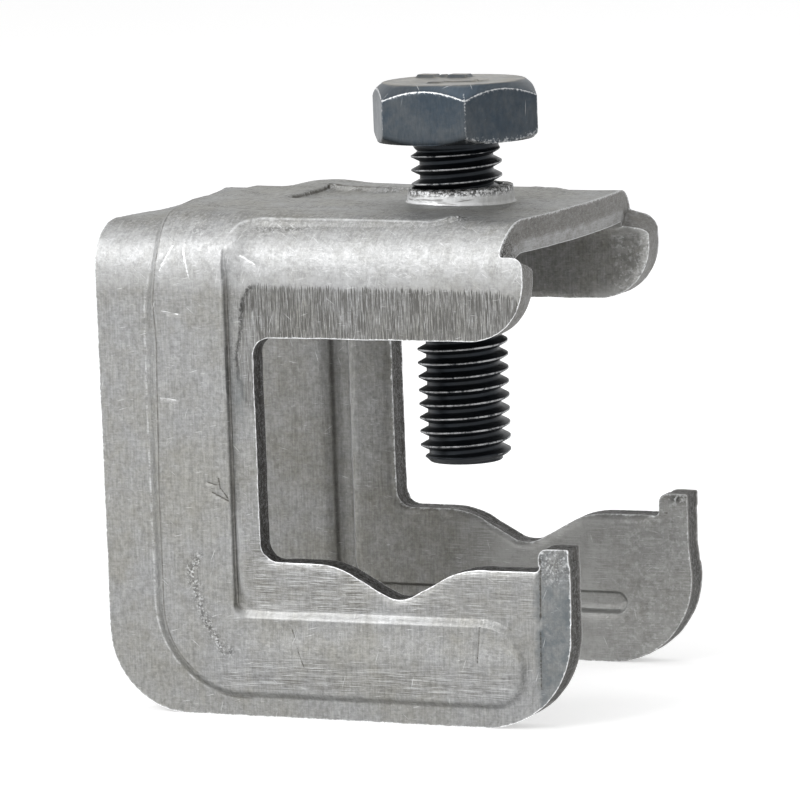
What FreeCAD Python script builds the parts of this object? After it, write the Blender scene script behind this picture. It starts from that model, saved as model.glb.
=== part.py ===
import FreeCAD, Part
import math
import os

from FreeCAD import Vector

# Rebar earthing clamp: one folded plate with two C-shaped cheeks joined by a web,
# and a hexagon screw that presses a bar down into the vee notches.
# X runs toward the open jaw, Y along the bar, Z up along the screw.
# Origin: middle of the footprint, in the plane of the cheeks' lower edges.

# folded plate
width = 40.0
plate = 3.5
height = 53.3
bendRadius = 5.5

# reaches along X, all measured from the screw's axis
rearReach = 34.1
windowReach = 15.8
notchHalf = 7.3
tipReach = 15.2
webReach = 12.5
hookReach = 19.35

# side outline of a cheek
rearCorner = 9.0
frontCorner = 10.0
ledgeHeight = 16.8
windowCorner = 2.0
notchDepth = 4.0
notchRadius = 2.0
notchShoulder = 2.5
hookWidth = 3.35
hookHeight = 2.5
hookRound = 0.9
hookRoot = 0.5
armDrop = 12.3
tipRound = 6.0
tipDrop = 3.5
tipCorner = 0.8
rollEdge = 0.6

# plan outline of the web's two free edges
frontBulge = 1.7
rearDip = 1.6

# pressed rib round each cheek and over the web
ribHeight = 0.9
ribWidth = 8.8
ribReach = 23.2
ribLevel = 6.6
ribOuterCorner = 10.5
ribInnerCorner = 1.2
ribFront = 14.1
ribEndRound = 3.8
ribSoft = 0.7
grooveWidth = 2.2
grooveDepth = 0.9
grooveReach = 22.2
grooveLevel = 6.85
grooveCorner = 5.0
grooveFront = 12.4
grooveEndRound = 1.0

# raised pad on the web, between the rib and the collar
padInset = 2.8
padFront = 4.5
padCorner = 3.0

# drawn collar round the screw hole
collarRadius = 5.8
collarHeight = 1.75
collarShift = 0.45
collarFoot = 0.5
boreMouth = 0.6

# screw
screwRadius = 4.93
screwLength = 35.0
screwClearance = 0.05
tipFlat = 3.9
tipSlope = 1.0
headFlats = 16.8
headHeight = 6.4
headTurn = -1.0
headFlat = 7.65
headBevel = 38.0
underFlat = 8.5
underBevel = 30.0
headRise = 5.25

# how near a point has to lie to count as on a surface
touch = 1e-4

screwX = (rearReach - hookReach) / 2.0
rearX = screwX - rearReach
halfWidth = width / 2.0
innerHalf = halfWidth - plate
padHalf = halfWidth - padInset
armHeight = height - armDrop
tipTop = height - tipDrop


def at(x, z, y=0.0):
    # x counted from the screw's axis
    return Vector(screwX + x, y, z)


def arcThrough(corner, before, after, radius):
    # tangent arc that rounds a corner between two neighbour points
    a = before.sub(corner).normalize()
    b = after.sub(corner).normalize()
    half = a.getAngle(b) / 2.0
    back = radius / math.tan(half)
    start = corner.add(Vector(a).multiply(back))
    end = corner.add(Vector(b).multiply(back))
    toCentre = a.add(b).normalize()
    centre = corner.add(Vector(toCentre).multiply(radius / math.sin(half)))
    middle = centre.sub(Vector(toCentre).multiply(radius))
    return start, middle, end


def outline(points):
    # closed wire through (point, radius) pairs, a radius of 0 keeps the corner sharp
    count = len(points)
    corners = []
    for i, (point, radius) in enumerate(points):
        if radius > 0:
            before = points[i - 1][0]
            after = points[(i + 1) % count][0]
            corners.append(arcThrough(point, before, after, radius))
        else:
            corners.append((point, None, point))
    edges = []
    for i, (start, middle, end) in enumerate(corners):
        if middle is not None:
            edges.append(Part.Arc(start, middle, end).toShape())
        nextStart = corners[(i + 1) % count][0]
        if end.distanceToPoint(nextStart) > touch:
            edges.append(Part.LineSegment(end, nextStart).toShape())
    return Part.Wire(edges)


def acrossCheeks(points, reach):
    # side outline carried through in Y, past both cheeks
    face = Part.Face(outline([(at(x, z, -reach), r) for x, z, r in points]))
    return face.extrude(Vector(0, 2 * reach, 0))


def channel(grow, depth):
    # folded strip of the given depth, its outer skin grown past the plate's by grow
    def section(half, top, radius):
        pts = [(Vector(rearX, -half, 0), 0), (Vector(rearX, -half, top), radius),
               (Vector(rearX, half, top), radius), (Vector(rearX, half, 0), 0)]
        return Part.Face(outline(pts))
    outer = section(halfWidth + grow, height + grow, bendRadius + grow)
    drop = grow - depth
    inner = section(halfWidth + drop, height + drop, bendRadius + drop)
    return outer.cut(inner).extrude(Vector(rearReach + hookReach, 0, 0))


def freeEdge(x, bulge, half, side):
    # everything beyond a curved free edge of the web, side is +1 in front and -1 behind
    low = Vector(screwX + x, -half, tipTop)
    mid = Vector(screwX + x + bulge, 0, tipTop)
    high = Vector(screwX + x, half, tipTop)
    far = side * (rearReach + hookReach)
    edges = [Part.Arc(low, mid, high).toShape()]
    edges.append(Part.LineSegment(high, high.add(Vector(far, 0, 0))).toShape())
    edges.append(Part.LineSegment(high.add(Vector(far, 0, 0)), low.add(Vector(far, 0, 0))).toShape())
    edges.append(Part.LineSegment(low.add(Vector(far, 0, 0)), low).toShape())
    return Part.Face(Part.Wire(edges)).extrude(Vector(0, 0, height + 2 * ribHeight - tipTop))


def edgesWhere(shape, test):
    chosen = []
    for edge in shape.Edges:
        samples = edge.discretize(5)
        if all(test(p) for p in samples):
            chosen.append(edge)
    return chosen


def cheekOutline():
    ledge = ledgeHeight
    hookX = hookReach - hookWidth
    return [
        (-rearReach, height + plate, 0),
        (-rearReach, 0, rearCorner),
        (hookReach, 0, frontCorner),
        (hookReach, ledge + hookHeight, 0),
        (hookX, ledge + hookHeight, hookRound),
        (hookX, ledge, hookRoot),
        (notchHalf, ledge, notchShoulder),
        (0, ledge - notchDepth, notchRadius),
        (-notchHalf, ledge, notchShoulder),
        (-windowReach, ledge, windowCorner),
        (-windowReach, armHeight, windowCorner),
        (tipReach, armHeight, tipRound),
        (tipReach, tipTop, tipCorner),
        (webReach + frontBulge, tipTop, 0),
        (webReach + frontBulge, height + plate, 0),
    ]


def ribOutline(reach, level, breadth, front, outerCorner, innerCorner, endRound):
    half = breadth / 2.0
    over = height + plate
    return [
        (-reach - half, over, 0),
        (-reach - half, level - half, outerCorner),
        (front, level - half, endRound),
        (front, level + half, endRound),
        (-reach + half, level + half, innerCorner),
        (-reach + half, over, 0),
    ]


def makePlate():
    side = acrossCheeks(cheekOutline(), width)
    fold = height - bendRadius
    span = rearReach + hookReach
    flat = Part.makeBox(span, plate, fold, Vector(rearX, -halfWidth, 0)).common(side)
    # rolled lip left by the punch along the inner rim of each cheek
    rim = edgesWhere(flat, lambda p: abs(p.y + innerHalf) < touch)
    rim = [edge for edge in rim if edge.CenterOfMass.z < fold - touch]
    flat = flat.makeChamfer(rollEdge, rim)
    other = flat.mirror(Vector(0, 0, 0), Vector(0, 1, 0))
    above = Part.makeBox(span, 2 * width, height, Vector(rearX, -width, fold))
    cap = channel(0, plate).common(side).common(above)
    return cap.fuse([flat, other]).removeSplitter()


def makeRib():
    skin = channel(ribHeight, ribHeight + plate / 2.0)
    course = ribOutline(ribReach, ribLevel, ribWidth, ribFront, ribOuterCorner, ribInnerCorner, ribEndRound)
    rib = skin.common(acrossCheeks(course, width))
    low = height - bendRadius
    corners = [(at(-ribReach, low, -padHalf), 0), (at(padFront, low, -padHalf), padCorner),
               (at(padFront, low, padHalf), padCorner), (at(-ribReach, low, padHalf), 0)]
    pad = Part.Face(outline(corners)).extrude(Vector(0, 0, bendRadius + 2 * ribHeight))
    raised = rib.fuse(skin.common(pad)).removeSplitter()
    return raised


def onSkin(p, grow):
    # true for a point on the folded skin that lies grow outside the plate
    half = halfWidth + grow
    top = height + grow
    radius = bendRadius + grow
    y = abs(p.y)
    if y <= half - radius:
        return abs(p.z - top) < touch
    if p.z <= top - radius:
        return abs(y - half) < touch
    return abs(math.hypot(y - (half - radius), p.z - (top - radius)) - radius) < touch


def makeBody():
    body = makePlate()
    raised = makeRib()
    crest = edgesWhere(raised, lambda p: onSkin(p, ribHeight))
    raised = raised.makeChamfer(ribSoft, crest)
    groove = channel(-plate + grooveDepth, grooveDepth + plate / 2.0)
    run = ribOutline(grooveReach, grooveLevel, grooveWidth, grooveFront, grooveCorner,
                     grooveCorner - grooveWidth, grooveEndRound)
    groove = groove.common(acrossCheeks(run, width))
    body = body.fuse(raised).cut(groove)
    body = body.cut(freeEdge(webReach, frontBulge, halfWidth, 1))
    body = body.cut(freeEdge(-rearReach, rearDip, innerHalf, -1))
    collar = Part.makeCylinder(collarRadius, plate + collarHeight, at(collarShift, height - plate))
    footRise = ribHeight + collarFoot
    foot = Part.makeCone(collarRadius + collarFoot, collarRadius, footRise, at(collarShift, height))
    bore = screwRadius + screwClearance
    hole = Part.makeCylinder(bore, 3 * plate + collarHeight, at(0, height - 2 * plate))
    mouth = Part.makeCone(bore + boreMouth, bore, boreMouth, at(0, height - plate))
    body = body.fuse([collar, foot]).removeSplitter()
    body = body.cut(hole).cut(mouth)
    return body


def makeScrew():
    under = height + collarHeight + headRise
    across = headFlats / math.sqrt(3.0)
    corners = []
    for i in range(6):
        turn = math.radians(headTurn + 60 * i)
        corners.append(at(across * math.cos(turn), under, across * math.sin(turn)))
    hexagon = Part.Face(Part.makePolygon(corners + [corners[0]])).extrude(Vector(0, 0, headHeight))
    # bevels turned on the head's upper and lower rims
    fall = (across - headFlat) * math.tan(math.radians(headBevel))
    rise = (across - underFlat) * math.tan(math.radians(underBevel))
    profile = [at(0, under), at(underFlat, under), at(across, under + rise),
               at(across, under + headHeight - fall), at(headFlat, under + headHeight),
               at(0, under + headHeight)]
    turned = Part.Face(Part.makePolygon(profile + [profile[0]]))
    turned = turned.revolve(at(0, 0), Vector(0, 0, 1), 360)
    head = hexagon.common(turned)
    tip = under - screwLength
    stem = [at(0, tip), at(tipFlat, tip), at(screwRadius, tip + tipSlope),
            at(screwRadius, under + headHeight / 2), at(0, under + headHeight / 2)]
    shank = Part.Face(Part.makePolygon(stem + [stem[0]])).revolve(at(0, 0), Vector(0, 0, 1), 360)
    return head.fuse(shank).removeSplitter()


def save(shape, name):
    solid = shape.Solids[0] if len(shape.Solids) == 1 else shape
    box = solid.optimalBoundingBox()
    print(name, "solids", len(shape.Solids), "valid", shape.isValid(), "volume", round(shape.Volume, 1),
          "x", round(box.XMin, 2), round(box.XMax, 2), "y", round(box.YMin, 2), round(box.YMax, 2),
          "z", round(box.ZMin, 2), round(box.ZMax, 2), "faces", len(shape.Faces))
    solid.exportStep("parts/" + name + ".step")


os.makedirs("parts", exist_ok=True)
save(makeBody(), "clamp_body")
save(makeScrew(), "clamp_bolt")
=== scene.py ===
import bpy
import bmesh
import math
import numpy as np
from mathutils import Matrix, Vector, kdtree, noise
from mathutils.geometry import delaunay_2d_cdt


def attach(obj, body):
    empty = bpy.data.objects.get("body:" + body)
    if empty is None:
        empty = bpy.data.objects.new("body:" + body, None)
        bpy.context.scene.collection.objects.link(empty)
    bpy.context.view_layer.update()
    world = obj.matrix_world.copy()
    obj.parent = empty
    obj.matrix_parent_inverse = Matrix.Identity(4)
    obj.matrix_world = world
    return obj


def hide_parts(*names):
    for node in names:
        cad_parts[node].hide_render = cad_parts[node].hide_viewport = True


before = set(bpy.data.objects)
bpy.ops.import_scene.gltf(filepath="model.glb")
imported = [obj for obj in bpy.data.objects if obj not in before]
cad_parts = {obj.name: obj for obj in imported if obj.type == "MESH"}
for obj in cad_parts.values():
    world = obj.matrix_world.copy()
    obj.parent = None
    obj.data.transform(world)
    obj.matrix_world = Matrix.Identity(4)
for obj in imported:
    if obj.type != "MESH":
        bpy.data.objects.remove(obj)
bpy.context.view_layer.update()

# lengths are in mm until a mesh is made, x is counted from the screw's axis
mm = 0.001
screwX = 7.375


# small helpers for outlines on the flat blank

def trace(corners, step, closed=True):
    # points along an outline of (x, s, radius) corners, rounded and evenly spaced
    runs = []
    count = len(corners)
    for i, (x, s, radius) in enumerate(corners):
        here = np.array((x, s), float)
        if radius == 0 or (not closed and i in (0, count - 1)):
            runs.append([here])
            continue
        toBefore = np.array(corners[i - 1][:2]) - here
        toAfter = np.array(corners[(i + 1) % count][:2]) - here
        toBefore = toBefore / np.linalg.norm(toBefore)
        toAfter = toAfter / np.linalg.norm(toAfter)
        half = math.acos(float(np.clip(toBefore @ toAfter, -1, 1))) / 2
        bisector = (toBefore + toAfter) / np.linalg.norm(toBefore + toAfter)
        centre = here + bisector * radius / math.sin(half)
        arm = here + toBefore * radius / math.tan(half) - centre
        turn = math.pi - 2 * half
        if toBefore[0] * toAfter[1] - toBefore[1] * toAfter[0] > 0:
            turn = -turn
        parts = max(3, math.ceil(radius * abs(turn) / step))
        angles = [turn * k / parts for k in range(parts + 1)]
        runs.append([centre + np.array((arm[0] * math.cos(a) - arm[1] * math.sin(a),
                                        arm[0] * math.sin(a) + arm[1] * math.cos(a))) for a in angles])
    points = []
    for i, run in enumerate(runs):
        points += run
        if i == count - 1 and not closed:
            break
        gap = runs[(i + 1) % count][0] - run[-1]
        length = float(np.linalg.norm(gap))
        if length < 1e-4:
            points.pop()
            continue
        parts = max(1, round(length / step))
        points += [run[-1] + gap * k / parts for k in range(1, parts)]
    return np.array(points)


batch = 1200        # points measured at once


def farFrom(points, starts, ends):
    # distance from each point to the nearest of some straight pieces
    span = ends - starts
    square = (span ** 2).sum(1)
    result = np.empty(len(points))
    for k in range(0, len(points), batch):
        rx = points[k:k + batch, 0:1] - starts[:, 0]
        ry = points[k:k + batch, 1:2] - starts[:, 1]
        t = np.clip((rx * span[:, 0] + ry * span[:, 1]) / square, 0, 1)
        result[k:k + batch] = np.sqrt(((rx - t * span[:, 0]) ** 2 + (ry - t * span[:, 1]) ** 2).min(1))
    return result


def reach(points, loop):
    # distance from each point to a closed loop, positive inside it
    ahead = np.roll(loop, -1, 0)
    rise = ahead[:, 1] - loop[:, 1]
    slope = np.where(np.abs(rise) < 1e-12, 0, (ahead[:, 0] - loop[:, 0]) / np.where(rise == 0, 1, rise))
    far = farFrom(points, loop, ahead)
    for k in range(0, len(points), batch):
        px = points[k:k + batch, 0:1]
        py = points[k:k + batch, 1:2]
        above = (loop[:, 1] > py) != (ahead[:, 1] > py)
        crossed = above & (px - loop[:, 0] < slope * (py - loop[:, 1]))
        far[k:k + batch] *= np.where(crossed.sum(1) % 2 == 1, 1, -1)
    return far


def sidewaysOf(loop):
    # unit steps square to a closed loop
    along = np.roll(loop, -1, 0) - np.roll(loop, 1, 0)
    along /= np.linalg.norm(along, axis=1)[:, None]
    return np.stack([-along[:, 1], along[:, 0]], 1)


def besideLoop(loop, offsets, within=False):
    # copies of a loop's points, moved sideways; points that come too near elsewhere are dropped
    sideways = sidewaysOf(loop)
    rows = []
    for offset in offsets:
        row = loop + sideways * offset
        far = reach(row, loop)
        keep = np.abs(far) > abs(offset) * 0.985 - 1e-9
        if within:
            keep &= far > 0
        rows.append(row[keep])
    return np.concatenate(rows)


def thinned(points, taken, gap):
    # the points that lie at least gap from every one taken, and from each other
    tree = kdtree.KDTree(len(taken) + len(points))
    for i, p in enumerate(taken):
        tree.insert((p[0], p[1], 0), i)
    tree.balance()
    keep = [p for p in points if tree.find((p[0], p[1], 0))[2] >= gap]
    cells = {}
    chosen = []
    for p in keep:
        key = (int(p[0] // gap), int(p[1] // gap))
        near = False
        for i in (-1, 0, 1):
            for j in (-1, 0, 1):
                for q in cells.get((key[0] + i, key[1] + j), ()):
                    if (q[0] - p[0]) ** 2 + (q[1] - p[1]) ** 2 < gap * gap * 0.98:
                        near = True
        if not near:
            cells.setdefault(key, []).append(p)
            chosen.append(p)
    return np.array(chosen).reshape(-1, 2)


def covered(loops, creases, extra, spacing, clear):
    # triangles over the area inside the first loop and outside the others, with edges along the creases
    lines = loops + creases
    low = loops[0].min(0)
    high = loops[0].max(0)
    rowStep = spacing * math.sqrt(3) / 2
    lattice = []
    for j in range(int((high[1] - low[1]) / rowStep) + 2):
        xs = np.arange(low[0] + (j % 2) * spacing / 2, high[0], spacing)
        lattice.append(np.stack([xs, np.full(len(xs), low[1] + j * rowStep)], 1))
    lattice = np.concatenate(lattice)
    lattice = lattice[reach(lattice, loops[0]) > clear]
    for hole in loops[1:]:
        lattice = lattice[reach(lattice, hole) < -clear]
    taken = np.concatenate(creases + [extra])
    if len(taken):
        lattice = thinned(lattice, taken, spacing * 0.6)
    points = np.concatenate(lines + [extra, lattice])
    edges = []
    rings = []
    start = 0
    for i, line in enumerate(lines):
        ring = list(range(start, start + len(line)))
        start += len(line)
        if i < len(loops):
            edges += list(zip(ring, ring[1:] + ring[:1]))
            rings.append(ring)
        else:
            edges += list(zip(ring[:-1], ring[1:]))
    out = delaunay_2d_cdt([Vector(p) for p in points], edges, rings, 1, 1e-6)
    flat = np.array([tuple(v) for v in out[0]])
    holes = set(range(1, len(loops)))
    triangles = [tuple(f) for f, owner in zip(out[2], out[5]) if 0 in owner and not holes & set(owner)]
    order = np.empty(len(points), int)
    for i, group in enumerate(out[3]):
        for j in group:
            order[j] = i
    return flat, triangles, order


def smooth(t):
    t = np.clip(t, 0, 1)
    return t * t * (3 - 2 * t)


def bumps(points, size, seed, octaves=3):
    # fractal noise at each point, about -1 to 1
    result = []
    for p in points:
        depth = p[2] / size if len(p) > 2 else 0
        result.append(noise.fractal((p[0] / size, p[1] / size, depth + seed), 1.0, 2.0, octaves))
    return np.array(result)


def meshFrom(name, places, faces, values, materials=None, faceMaterials=None):
    # a new object from places in mm, with one float value per vertex under each name
    mesh = bpy.data.meshes.new(name)
    shifted = np.array(places, float)
    shifted[:, 0] += screwX
    mesh.from_pydata((shifted * mm).tolist(), [], faces)
    for key, data in values.items():
        data = np.asarray(data, np.float32)
        kind = "FLOAT" if data.ndim == 1 else "FLOAT_VECTOR"
        field = "value" if data.ndim == 1 else "vector"
        layer = mesh.attributes.new(key, kind, "POINT")
        layer.data.foreach_set(field, data.ravel())
    for material in materials or []:
        mesh.materials.append(material)
    if faceMaterials is not None:
        mesh.polygons.foreach_set("material_index", np.asarray(faceMaterials, np.int32))
    mesh.polygons.foreach_set("use_smooth", np.ones(len(mesh.polygons), bool))
    mesh.update()
    mesh.validate()
    piece = bpy.data.objects.new(name, mesh)
    bpy.context.scene.collection.objects.link(piece)
    return piece


# camera

photoView = {
    "azimuth": 23.351, "elevation": 7.998, "roll": -2.04,
    "distance": 551.533, "lens": 227.06, "sensor": 36.0, "target": (-0.252, 0.0, 31.639),
    "nearest": 0.02, "farthest": 20.0,
}


def placeCamera():
    turn = math.radians(photoView["azimuth"])
    rise = math.radians(photoView["elevation"])
    roll = math.radians(photoView["roll"])
    back = Vector((math.sin(turn) * math.cos(rise), -math.cos(turn) * math.cos(rise), math.sin(rise)))
    right = (-back).cross(Vector((0, 0, 1))).normalized()
    up = right.cross(-back)
    across = right * math.cos(roll) + up * math.sin(roll)
    over = up * math.cos(roll) - right * math.sin(roll)
    place = (Vector(photoView["target"]) + back * photoView["distance"]) * mm
    data = bpy.data.cameras.new("photoCamera")
    data.lens = photoView["lens"]
    data.sensor_width = photoView["sensor"]
    data.clip_start = photoView["nearest"]
    data.clip_end = photoView["farthest"]
    camera = bpy.data.objects.new("photoCamera", data)
    camera.matrix_world = Matrix((
        (across.x, over.x, back.x, place.x),
        (across.y, over.y, back.y, place.y),
        (across.z, over.z, back.z, place.z),
        (0, 0, 0, 1)))
    bpy.context.scene.collection.objects.link(camera)
    bpy.context.scene.camera = camera


placeCamera()
print("camera placed")


# node helpers

quarterTurn = 1.5708


class Wire:
    # one output of a node, which can be added, multiplied and ramped like a number
    def __init__(self, tree, socket):
        self.tree = tree
        self.socket = socket

    def beside(self, output):
        # another output of the same node
        return Wire(self.tree, self.socket.node.outputs[output])

    def ramp(self, low, high, toLow=0.0, toHigh=1.0):
        # eases from toLow to toHigh as the value goes from low to high
        inputs = {"Value": self, "From Min": low, "From Max": high, "To Min": toLow, "To Max": toHigh}
        return put(self.tree, "ShaderNodeMapRange", inputs, interpolation_type="SMOOTHSTEP")

    def __add__(self, other):
        return calc("ADD", self, other)

    def __mul__(self, other):
        return calc("MULTIPLY", self, other)

    def __sub__(self, other):
        return calc("SUBTRACT", self, other)

    def __rsub__(self, other):
        return calc("SUBTRACT", other, self)

    def __truediv__(self, other):
        return calc("DIVIDE", self, other)

    def __rtruediv__(self, other):
        return calc("DIVIDE", other, self)

    def __abs__(self):
        return calc("ABSOLUTE", self)

    __radd__ = __add__
    __rmul__ = __mul__


def give(socket, value):
    # links a node's output to a socket, or sets its number, vector or colour
    if isinstance(value, Wire):
        value.tree.links.new(value.socket, socket)
    elif socket.type == "RGBA":
        socket.default_value = (*value, 1.0)
    else:
        socket.default_value = value


def put(tree, kind, inputs=None, output=0, **settings):
    # adds a node and returns one of its outputs
    node = tree.nodes.new(kind)
    for key, value in settings.items():
        setattr(node, key, value)
    for key, value in (inputs or {}).items():
        give(node.inputs[key], value)
    return Wire(tree, node.outputs[output])


def treeOf(*values):
    return next(v.tree for v in values if isinstance(v, Wire))


def calc(operation, *values, clamp=False):
    inputs = dict(enumerate(values))
    return put(treeOf(*values), "ShaderNodeMath", inputs, operation=operation, use_clamp=clamp)


def larger(first, *others):
    for other in others:
        first = calc("MAXIMUM", first, other)
    return first


def smaller(a, b):
    return calc("MINIMUM", a, b)


def lay(under, over, mask, mode="MIX"):
    # one colour over another where the mask is high
    inputs = {0: mask, 6: under, 7: over}
    return put(treeOf(under, over, mask), "ShaderNodeMix", inputs, 2, data_type="RGBA", blend_type=mode)


def named(tree, key, field="Fac"):
    return put(tree, "ShaderNodeAttribute", output=field, attribute_name=key)


def parts(vector):
    first = put(vector.tree, "ShaderNodeSeparateXYZ", {0: vector})
    return [first.beside(k) for k in range(3)]


def scaled(vector, size):
    return put(vector.tree, "ShaderNodeVectorMath", {0: vector, 1: size}, operation="MULTIPLY")


def turned(vector, angle):
    inputs = {"Vector": vector, "Angle": angle}
    return put(vector.tree, "ShaderNodeVectorRotate", inputs, rotation_type="Z_AXIS")


def noiseOn(place, **inputs):
    # noise texture, with a fourth direction where W is given
    settings = {"noise_dimensions": "4D"} if "W" in inputs else {}
    return put(place.tree, "ShaderNodeTexNoise", {"Vector": place, **inputs}, **settings)


def newGroup(name, **inputs):
    # a group of nodes and its inputs; an input without a number is a vector
    tree = bpy.data.node_groups.new(name, "ShaderNodeTree")
    for key, value in inputs.items():
        kind = "NodeSocketVector" if value is None else "NodeSocketFloat"
        socket = tree.interface.new_socket(name=key, in_out="INPUT", socket_type=kind)
        if value is not None:
            socket.default_value = value
    given = tree.nodes.new("NodeGroupInput").outputs
    return tree, *[Wire(tree, given[key]) for key in inputs]


def endGroup(tree, **results):
    for key in results:
        tree.interface.new_socket(name=key, in_out="OUTPUT", socket_type="NodeSocketFloat")
    out = tree.nodes.new("NodeGroupOutput").inputs
    for key, value in results.items():
        give(out[key], value)
    return tree


def useGroup(group, place, **inputs):
    # places a group in a material and returns its first output
    node = place.tree.nodes.new("ShaderNodeGroup")
    node.node_tree = group
    give(node.inputs["Place"], place)
    for key, value in inputs.items():
        give(node.inputs[key], value)
    return Wire(place.tree, node.outputs[0])


# shared effects, sizes in mm

def makeBlotches():
    # cloudy patches of handled metal
    tree, place, size, shift = newGroup("blotches", Place=None, Size=8.0, Shift=0.0)
    scale = 1.0 / size
    large = noiseOn(place, W=shift, Scale=scale, Detail=4.0, Roughness=0.6, Distortion=0.4)
    fine = noiseOn(place, W=shift, Scale=7.0 * scale, Detail=3.0, Roughness=0.7)
    return endGroup(tree, Tone=(0.7 * large + 0.3 * fine).ramp(0.34, 0.66))


def makeStreaks():
    # fine lines drawn along one direction
    tree, place, turn, width, length = newGroup("streaks", Place=None, Turn=0.0, Width=0.2, Length=6.0)
    size = put(tree, "ShaderNodeCombineXYZ", {0: 1.0 / width, 1: 1.0 / length, 2: 1.0 / length})
    lines = noiseOn(scaled(turned(place, turn), size), Scale=1.0, Detail=3.0, Roughness=0.65)
    return endGroup(tree, Line=lines.ramp(0.25, 0.75))


def makeScratches():
    # separate thin scratches, Cover is how many of the cells hold one
    given = newGroup("scratches", Place=None, Turn=0.0, Cell=5.0, Thin=14.0, Cover=0.3)
    tree, place, turn, cell, thin, cover = given
    wobble = noiseOn(place, Scale=0.12, Detail=1.0).beside("Color")
    inputs = {0: wobble, 1: (1.6, 1.6, 0.0), 2: place}
    bent = put(tree, "ShaderNodeVectorMath", inputs, operation="MULTIPLY_ADD")
    size = put(tree, "ShaderNodeCombineXYZ", {0: thin / cell, 1: 1.0 / cell, 2: 1.0 / cell})
    inputs = {"Vector": scaled(turned(bent, turn), size), "Scale": 1.0}
    away = put(tree, "ShaderNodeTexVoronoi", inputs, "Distance")
    chance = put(tree, "ShaderNodeSeparateColor", {0: away.beside("Color")})
    return endGroup(tree, Line=away.ramp(0.34, 0.12) * calc("LESS_THAN", chance, cover))


def makeSpecks():
    # small pits and dirt specks
    tree, place, size, cover = newGroup("specks", Place=None, Size=0.6, Cover=0.3)
    grain = noiseOn(place, Scale=1.0 / size, Detail=4.0, Roughness=0.75)
    return endGroup(tree, Speck=calc("MULTIPLY", grain - (0.8 - 0.4 * cover), 14.0, clamp=True))


def makeWear():
    # rubbed edges: Edge is 1 at the edge itself and falls away from it
    tree, place, edge, size, amount = newGroup("edgeWear", Place=None, Edge=0.0, Size=0.8, Amount=0.5)
    broken = noiseOn(place, Scale=1.0 / size, Detail=4.0, Roughness=0.7)
    level = edge + 1.3 * (broken - 0.5)
    return endGroup(tree, Mask=calc("MULTIPLY", level - (1.0 - amount), 3.0, clamp=True))


def makeFlecks():
    # torn and dirty patches: dark and light grains where Mask is high
    tree, place, mask, size = newGroup("flecks", Place=None, Mask=0.0, Size=0.3)
    scale = 1.0 / size
    dark = noiseOn(place, Scale=scale, Detail=3.0, Roughness=0.7)
    light = noiseOn(place, Scale=1.7 * scale, Detail=2.0, Roughness=0.6)
    return endGroup(tree, Dark=dark.ramp(0.56, 0.44) * mask, Light=light.ramp(0.55, 0.62) * mask)


blotches = makeBlotches()
streaks = makeStreaks()
scratches = makeScratches()
specks = makeSpecks()
edgeWear = makeWear()
flecks = makeFlecks()


def newMaterial(name):
    material = bpy.data.materials.new(name)
    material.use_nodes = True
    tree = material.node_tree
    return material, tree, tree.nodes["Principled BSDF"].inputs


def feed(shader, color, roughness, height, strength, distance):
    # colour, roughness and relief go to the shader
    bump = {"Height": height, "Strength": strength, "Distance": distance}
    give(shader["Base Color"], color)
    give(shader["Roughness"], roughness)
    give(shader["Normal"], put(color.tree, "ShaderNodeBump", bump))


# folded plate

plate = {
    "thick": 3.5, "halfWidth": 20.0, "height": 53.3, "bend": 5.5,
    "rear": -34.1, "front": 19.35, "rearCorner": 9.0, "frontCorner": 10.0,
    "ledge": 16.8, "notchHalf": 7.3, "notchDepth": 4.0, "notchRadius": 3.3, "notchShoulder": 8.5,
    "hookWidth": 3.35, "hookTop": 19.3, "hookRound": 0.9, "hookRoot": 0.5,
    "windowRear": -15.8, "windowTop": 41.0, "windowCorner": 2.0,
    "tip": 15.2, "tipRound": 6.0, "tipTop": 49.8, "farTipRise": 1.0,
    "webFront": 12.5, "frontBulge": 1.7, "rearDip": 1.6, "dipHalf": 16.5,
    "rollDepth": 0.5, "rollWidth": 0.95, "burr": 0.05, "tear": 0.09, "ragged": 0.05,
    "dishDepth": 0.58, "wave": 0.035, "innerWave": 0.025, "wallRows": 13, "wallEnds": 0.02, "tornBack": 0.06,
    "stripDepth": 0.2, "ledgeRoll": 0.3, "ledgeRollWidth": 0.9, "rearRoll": 0.6,
}
rib = {
    "height": 0.9, "crown": 0.07, "corner": 9.0, "front": 13.95, "legTop": 10.8, "legFoot": 11.7,
    "outerFoot": -28.5, "outerCrest": -27.12, "innerCrest": -18.88, "lowFoot": 2.0, "lowCrest": 2.95,
    "rearFoot": -29.6, "rearCrest": -27.9, "landDrop": 0.4, "farRise": 0.28,
}
groove = {
    "width": 2.2, "depth": 0.9, "reach": 22.2, "level": 6.85, "corner": 5.0, "front": 11.75, "endRound": 1.0,
    "flank": 0.28,
}
collar = {
    "radius": 5.86, "topRadius": 5.68, "height": 1.98, "slant": 0.02, "shift": 0.4, "foot": 0.14,
    "bore": 4.98, "mouth": 0.6, "ragged": 0.16, "area": 7.2, "rounding": 0.14, "footRise": 0.07,
    # rows of points round it: radius, and the share of its shift
    "rows": [(5.15, 0.1), (5.32, 0.5), (5.48, 0.9), (5.6, 1), (5.68, 1), (5.72, 1), (5.77, 1), (5.82, 1),
             (5.86, 1), (5.91, 1), (5.99, 1), (6.12, 1), (6.3, 1), (6.6, 1)],
}

bendArc = plate["bend"] * math.pi / 2
cheekLine = plate["height"] - plate["bend"]         # where the cheek ends and the bend starts
webHalf = plate["halfWidth"] - plate["bend"]
webLine = cheekLine + bendArc
middle = webLine + webHalf
whole = 2 * middle
lowLegEnd = 20.0        # all of the lower leg lies below this line
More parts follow.
